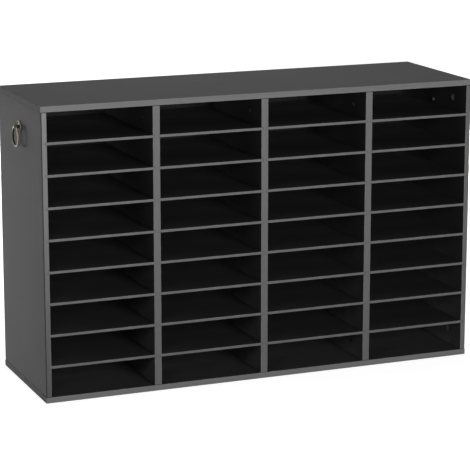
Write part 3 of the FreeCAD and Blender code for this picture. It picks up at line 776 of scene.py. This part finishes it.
# %% Brass finish
PATINA_PATCH_MM, PATINA_DETAIL, PATINA_DRIFT = 2.4, 4.0, 0.17
PATINA_SPECK_MM, SPECKS, SPECK_DEPTH = 0.7, (0.55, 0.75), 0.2
FRONT_HIGHLIGHT_REACH_MM = 12.0
FRONT_HIGHLIGHT = (1.0, 0.05)
PATINA, RUBBED_AND_HIGHLIT_BRASS = "#262119", "#807762"
PATINA_ROUGHNESS, RUBBED_ROUGHNESS = 0.62, 0.42
PATINA_HEIGHT_M, PATINA_STRENGTH = 0.00005, 0.5


def aged_brass(name, rubbed_share):
    """Brass that is rubbed where rubbed_share(tree, x, y, z) is 1, patinated where it is 0, and
    painted brighter towards the front as a highlight.
    """
    material, tree, shader = new_material(name)
    place = in_millimetres(tree)
    x, y, z = add(tree, "SeparateXYZ", place).outputs
    near, far = PULL_DEPTH_MM - FRONT_HIGHLIGHT_REACH_MM, PULL_DEPTH_MM + FRONT_HIGHLIGHT_REACH_MM
    # The rubbed share fades from the front of the pull to its rear: a painted highlight.
    front_highlight = add(tree, "MapRange", y, near, far, *FRONT_HIGHLIGHT)
    share = add(tree, "Math", rubbed_share(tree, x, y, z), front_highlight, operation="MULTIPLY")
    cloud = add(tree, "MapRange", add(tree, "TexNoise", place, 1 / PATINA_PATCH_MM, PATINA_DETAIL),
                *USUAL_NOISE, -PATINA_DRIFT, PATINA_DRIFT)
    share = add(tree, "Math", share, cloud, operation="ADD")
    specks = add(tree, "MapRange", add(tree, "TexNoise", place, 1 / PATINA_SPECK_MM),
                 *SPECKS, 0.0, -SPECK_DEPTH)
    share = add(tree, "Math", share, specks, operation="ADD")
    share = add(tree, "MapRange", share, 0.0, 1.0)
    plug(tree, shader.inputs["Base Color"],
         add(tree, "Mix", share, linear(PATINA), linear(RUBBED_AND_HIGHLIT_BRASS), data_type="RGBA"))
    plug(tree, shader.inputs["Roughness"],
         add(tree, "MapRange", share, 0.0, 1.0, PATINA_ROUGHNESS, RUBBED_ROUGHNESS))
    shader.inputs["Metallic"].default_value = 1.0
    relief = add(tree, "Bump", PATINA_STRENGTH, PATINA_HEIGHT_M)
    plug(tree, relief.inputs["Height"], share)
    plug(tree, shader.inputs["Normal"], relief)
    return material


print("patina lies in patches of", PATINA_PATCH_MM, "mm")

# %% [markdown]
# On the plate and the post, whatever stands out is touched most: the plate's rim and the
# far end of the ball. On the ring the outer side of the rod is rubbed, while its inner
# side stays dark. Where that change lies is given in rod radii from the rod's own middle.

# %% Where the brass is rubbed
RIM_MM, RIM_SHARE = (10.3, 11.1), (0.0, 0.95)
PROUD_MM, PROUD_SHARE = (6.0, 14.0), (0.1, 0.9)
ROD_SHARE = (0.05, 0.8)
RUBBED_RODS = (-0.3, 0.8)


def distance_from(tree, y, z, height):
    """Distance from the line along X that passes the pull's depth at that height."""
    sideways = add(tree, "Math", y, PULL_DEPTH_MM, operation="SUBTRACT")
    upwards = add(tree, "Math", z, height, operation="SUBTRACT")
    squares = [add(tree, "Math", offset, offset, operation="MULTIPLY")
               for offset in (sideways, upwards)]
    return add(tree, "Math", add(tree, "Math", *squares, operation="ADD"), operation="SQRT")


def proud_parts(tree, x, y, z):
    """The rim of the plate, and the ball's far end."""
    across = add(tree, "Math", x, operation="ABSOLUTE")
    outwards = add(tree, "Math", across, PANEL_FACE_MM, operation="SUBTRACT")
    radius = distance_from(tree, y, z, PULL_HEIGHT_MM)
    rim = add(tree, "MapRange", radius, *RIM_MM, *RIM_SHARE)
    proud = add(tree, "MapRange", outwards, *PROUD_MM, *PROUD_SHARE)
    return add(tree, "Math", rim, proud, operation="MAXIMUM")


def outer_side_of_rod(tree, x, y, z):
    """The side of the rod that faces away from the middle of the ring."""
    radius = distance_from(tree, y, z, PULL_HEIGHT_MM - RING_MEAN_MM)
    inner, outer = [RING_MEAN_MM + rods * ROD_MM for rods in RUBBED_RODS]
    return add(tree, "MapRange", radius, inner, outer, *ROD_SHARE)


# To the eye: greyish brown metal with a dull gold line wherever it is touched, and a painted
# highlight on the front of each pull.
plate_brass = aged_brass("lathe_turned_aged_brass", proud_parts)
ring_brass = aged_brass("bent_rod_aged_brass", outer_side_of_rod)
print("brass finishes:", plate_brass.name, "and", ring_brass.name)

# %% [markdown]
# ## The plate
# The outline starts at the screw hole, runs along the flat back, rolls over the raised
# rim, dips into a dish, and climbs to the flat boss that the post sits on. Heights are
# measured out from the panel, and radii from the middle of the plate. A stack of cylinders
# would give the same sizes but none of the soft turned curves.

# %% Turn the plates
PLATE_STEPS = 72
PLATE_OUTLINE = [
    (2.25, 0.0), (11.5, 0.0), (11.9, 0.3), (12.0, 1.0), (11.95, 1.8), (11.7, 2.3),
    (11.2, 2.5), (10.7, 2.3), (10.3, 1.8), (9.8, 1.35), (9.0, 1.15), (8.2, 1.25),
    (7.6, 1.6), (7.1, 2.1), (6.6, 2.5), (6.1, 2.6), (5.2, 2.6), (4.95, 2.4),
    (4.6, 2.4), (4.35, 2.6), (2.25, 2.6)]


def on_pull_axis(outline):
    """Radius and height on a pull, as points above its axis on the right side."""
    return [(PANEL_FACE_MM + height, PULL_DEPTH_MM, PULL_HEIGHT_MM + radius)
            for radius, height in outline]


pull_middle = (0, PULL_DEPTH_MM, PULL_HEIGHT_MM)
for side in ("left", "right"):
    shape = spin_outline(on_pull_axis(PLATE_OUTLINE), pull_middle, (1, 0, 0), PLATE_STEPS)
    stand_in(mirrored(shape, side), f"{side}_turned_plate", f"{side}_pull_rosette",
             plate_brass)

# %% [markdown]
# ## The post
# The post has a collar at its foot, a narrow waist, and a ball. Its outline touches the
# axis at both ends, where the spun points merge into one. The ball is an arc of points,
# because a few straight flats would show in its shine.

# %% Outline of the post
BALL_MM = 5.3
WAIST_MM = 3.1
SCREW_HOLE_MM = 2.0
SCREW_DEPTH_MM = 5.4
BALL_STEPS = 14
REACH_MM = RING_AXIS_MM - PANEL_FACE_MM


def post_outline():
    """Radius and height of the post's outline, from the screw hole to the ball's top."""
    foot = [(0.0, SCREW_DEPTH_MM), (SCREW_HOLE_MM, SCREW_DEPTH_MM), (SCREW_HOLE_MM, 2.6),
            (4.1, 2.6), (4.3, 2.8), (4.3, 3.1), (4.0, 3.35), (3.4, 3.6), (WAIST_MM, 4.0)]
    start = math.acos(WAIST_MM / BALL_MM)
    turn = [start - (start + math.pi / 2) * i / BALL_STEPS for i in range(BALL_STEPS + 1)]
    ball = [(BALL_MM * math.cos(a), REACH_MM - BALL_MM * math.sin(a)) for a in turn]
    return foot + ball[:-1] + [(0.0, REACH_MM + BALL_MM)]


print("the post's outline has", len(post_outline()), "points, and reaches",
      round(post_outline()[-1][1], 1), "mm out from the panel")

# %% [markdown]
# The ring's hole goes through the ball along Y. Cutting it point by point would be slow
# and easy to get wrong, so a Boolean modifier takes a cylinder out of the spun post, and
# its result becomes the piece's own mesh.

# %% Turn the posts and bore them
POST_STEPS = 48
BORE_MM = 3.06
BORE_SIDES = 40


def bored(shape):
    """The shape with the ring's hole cut along Y through its ball."""
    cutter = bmesh.new()
    bmesh.ops.create_cone(cutter, cap_ends=True, segments=BORE_SIDES, radius1=BORE_MM,
                          radius2=BORE_MM, depth=4 * BALL_MM)
    bmesh.ops.rotate(cutter, verts=cutter.verts, matrix=Matrix.Rotation(math.pi / 2, 3, "X"))
    bmesh.ops.translate(cutter, verts=cutter.verts,
                        vec=(RING_AXIS_MM, PULL_DEPTH_MM, PULL_HEIGHT_MM))
    made = []
    for form in (shape, cutter):
        made.append(bpy.data.objects.new("form", bpy.data.meshes.new("form")))
        form.to_mesh(made[-1].data)
        form.free()
        bpy.context.scene.collection.objects.link(made[-1])
    cut = made[0].modifiers.new("ring_hole", "BOOLEAN")
    cut.operation, cut.solver, cut.object = "DIFFERENCE", "EXACT", made[1]
    result = bmesh.new()
    result.from_object(made[0], bpy.context.evaluated_depsgraph_get())
    for form in made:
        bpy.data.objects.remove(form)
    return result


for side in ("left", "right"):
    shape = spin_outline(on_pull_axis(post_outline()), pull_middle, (1, 0, 0), POST_STEPS)
    stand_in(mirrored(bored(shape), side), f"{side}_turned_post", f"{side}_pull_post",
             plate_brass)

# %% [markdown]
# ## The ring
# A round rod is bent into a ring and its ends are brazed inside the post's hole. Blender
# has a torus, but with spinning the same helper serves once more: the rod's circle is one
# outline, spun round the ring's middle. The ring rides on its own body, so it swings up
# from the panel about the post.

# %% Bend the rings
ROD_SIDES = 20
RING_STEPS = 128

ring_middle = Vector((RING_AXIS_MM, PULL_DEPTH_MM, PULL_HEIGHT_MM - RING_MEAN_MM))
rod_angles = [math.tau * i / ROD_SIDES for i in range(ROD_SIDES)]
rod_outline = [ring_middle + Vector((ROD_MM * math.sin(a), 0, RING_MEAN_MM + ROD_MM * math.cos(a)))
               for a in rod_angles]
for side in ("left", "right"):
    shape = spin_outline(rod_outline, ring_middle, (1, 0, 0), RING_STEPS)
    stand_in(mirrored(shape, side), f"{side}_bent_ring", f"{side}_pull_ring",
             ring_brass)

# %% [markdown]
# ## The studio floor
# A pale floor runs far behind the sorter, so that its far edge is never seen. A curved
# backdrop would hide the edge too, but it would stand in the way of the views from behind.
# The floor lies a hair below the case, because two faces in one plane flicker.

# %% Floor
FLOOR_HALF_M = 14.0
FLOOR_BEHIND_M = 4.0
FLOOR_DROP_M = 0.0004

floor_mesh = bmesh.new()
bmesh.ops.create_grid(floor_mesh, x_segments=1, y_segments=1, size=FLOOR_HALF_M)
bmesh.ops.translate(floor_mesh, verts=floor_mesh.verts,
                    vec=(0, FLOOR_BEHIND_M, cad_low.z - FLOOR_DROP_M))
floor = bpy.data.objects.new("studio_floor", bpy.data.meshes.new("studio_floor"))
floor_mesh.to_mesh(floor.data)
floor_mesh.free()
bpy.context.scene.collection.objects.link(floor)
print("floor:", 2 * FLOOR_HALF_M, "m square")

# %% [markdown]
# To the lamps the floor is matt white paper. To the camera it also glows a little, so that
# it turns white where no shadow falls on it. More lamps would whiten it too, but they
# would wash out the dark boards. Metal sees that same glow in its reflections.

# %% Paper and glow
GLOW_MM = (900.0, 3500.0)
GLOW = (0.80, 0.935)


def seen_directly(tree):
    """1 for rays from the camera and for reflected or refracted ones, 0 for the light."""
    rays = add(tree, "LightPath").outputs
    bounced = add(tree, "Math", rays["Is Glossy Ray"], rays["Is Transmission Ray"],
                  operation="MAXIMUM")
    return add(tree, "Math", rays["Is Camera Ray"], bounced, operation="MAXIMUM")


# To the eye: an even white with no edge, and only the sorter's own soft shadow on it.
paper, tree, shader = new_material("matt_white_paper")
shader.inputs["Base Color"].default_value = linear("#bebebe")
shader.inputs["Roughness"].default_value = 0.9
shader.inputs["Specular IOR Level"].default_value = 0.1
shader.inputs["Emission Color"].default_value = linear("#ffffff")
far_off = add(tree, "VectorMath", in_millimetres(tree), operation="LENGTH").outputs["Value"]
glow = add(tree, "MapRange", far_off, *GLOW_MM, *GLOW)
plug(tree, shader.inputs["Emission Strength"],
     add(tree, "Math", glow, seen_directly(tree), operation="MULTIPLY"))
floor.data.materials.append(paper)
print("the paper glows from", GLOW[0], "near the sorter to", GLOW[1], "far from it")

# %% [markdown]
# The world is white in the same way: at full strength for the camera and in reflections,
# and very weak as a light, so that the lamps alone shape the sorter.

# %% World
WORLD_LIGHT = 0.08

world = bpy.data.worlds.new("white_studio")
bpy.context.scene.world = world
world.use_nodes = True
background = world.node_tree.nodes["Background"]
background.inputs["Color"].default_value = linear("#ffffff")
plug(world.node_tree, background.inputs["Strength"],
     add(world.node_tree, "MapRange", seen_directly(world.node_tree), 0.0, 1.0, WORLD_LIGHT, 1.0))
print("world light:", WORLD_LIGHT)

# %% [markdown]
# ## The lamps
# Soft light comes from large panels. One in front, a little above the sorter, looks into
# the pigeonholes, and a small one near the top left corner lifts the front edges there.
# One low behind on each side grazes the side panel, so that its ring pull throws a long
# soft shadow forwards. A wide one behind and one overhead keep the back and the top
# readable. Sun lamps would be simpler, but their shadows are too hard for a studio.

# %% Lamps
def softbox(name, place, aim, size, power):
    """A square soft light at a place, turned towards the aim."""
    lamp = bpy.data.lights.new(name, "AREA")
    lamp.shape = "SQUARE"
    lamp.size = size
    lamp.energy = power
    holder = bpy.data.objects.new(name, lamp)
    bpy.context.scene.collection.objects.link(holder)
    holder.location = place
    holder.rotation_euler = (Vector(aim) - Vector(place)).to_track_quat("-Z", "Y").to_euler()
    holder.visible_camera = False
    print(name, "gives", power, "W from", size, "m")


middle_of_case = (0, 0, 0.3)
softbox("front_panel", (0.15, -3.6, 1.05), middle_of_case, 1.2, 99)
softbox("corner_panel", (-0.95, -0.95, 0.62), (-0.48, -0.15, 0.5), 0.35, 2.6)
softbox("left_panel", (-1.3, 2.6, 0.25), (-0.48, 1.8, -2.1), 0.7, 205)
softbox("right_panel", (1.3, 2.6, 0.25), (0.48, 1.8, -2.1), 0.7, 205)
softbox("rear_panel", (1.0, 3.7, 1.8), middle_of_case, 2.4, 50)
softbox("overhead_panel", (0, 0.4, 2.6), middle_of_case, 1.5, 13)

# %% [markdown]
# ## The view transform
# The standard view transform shows a colour as it is written.

# %% View transform
bpy.context.scene.view_settings.view_transform = "Standard"
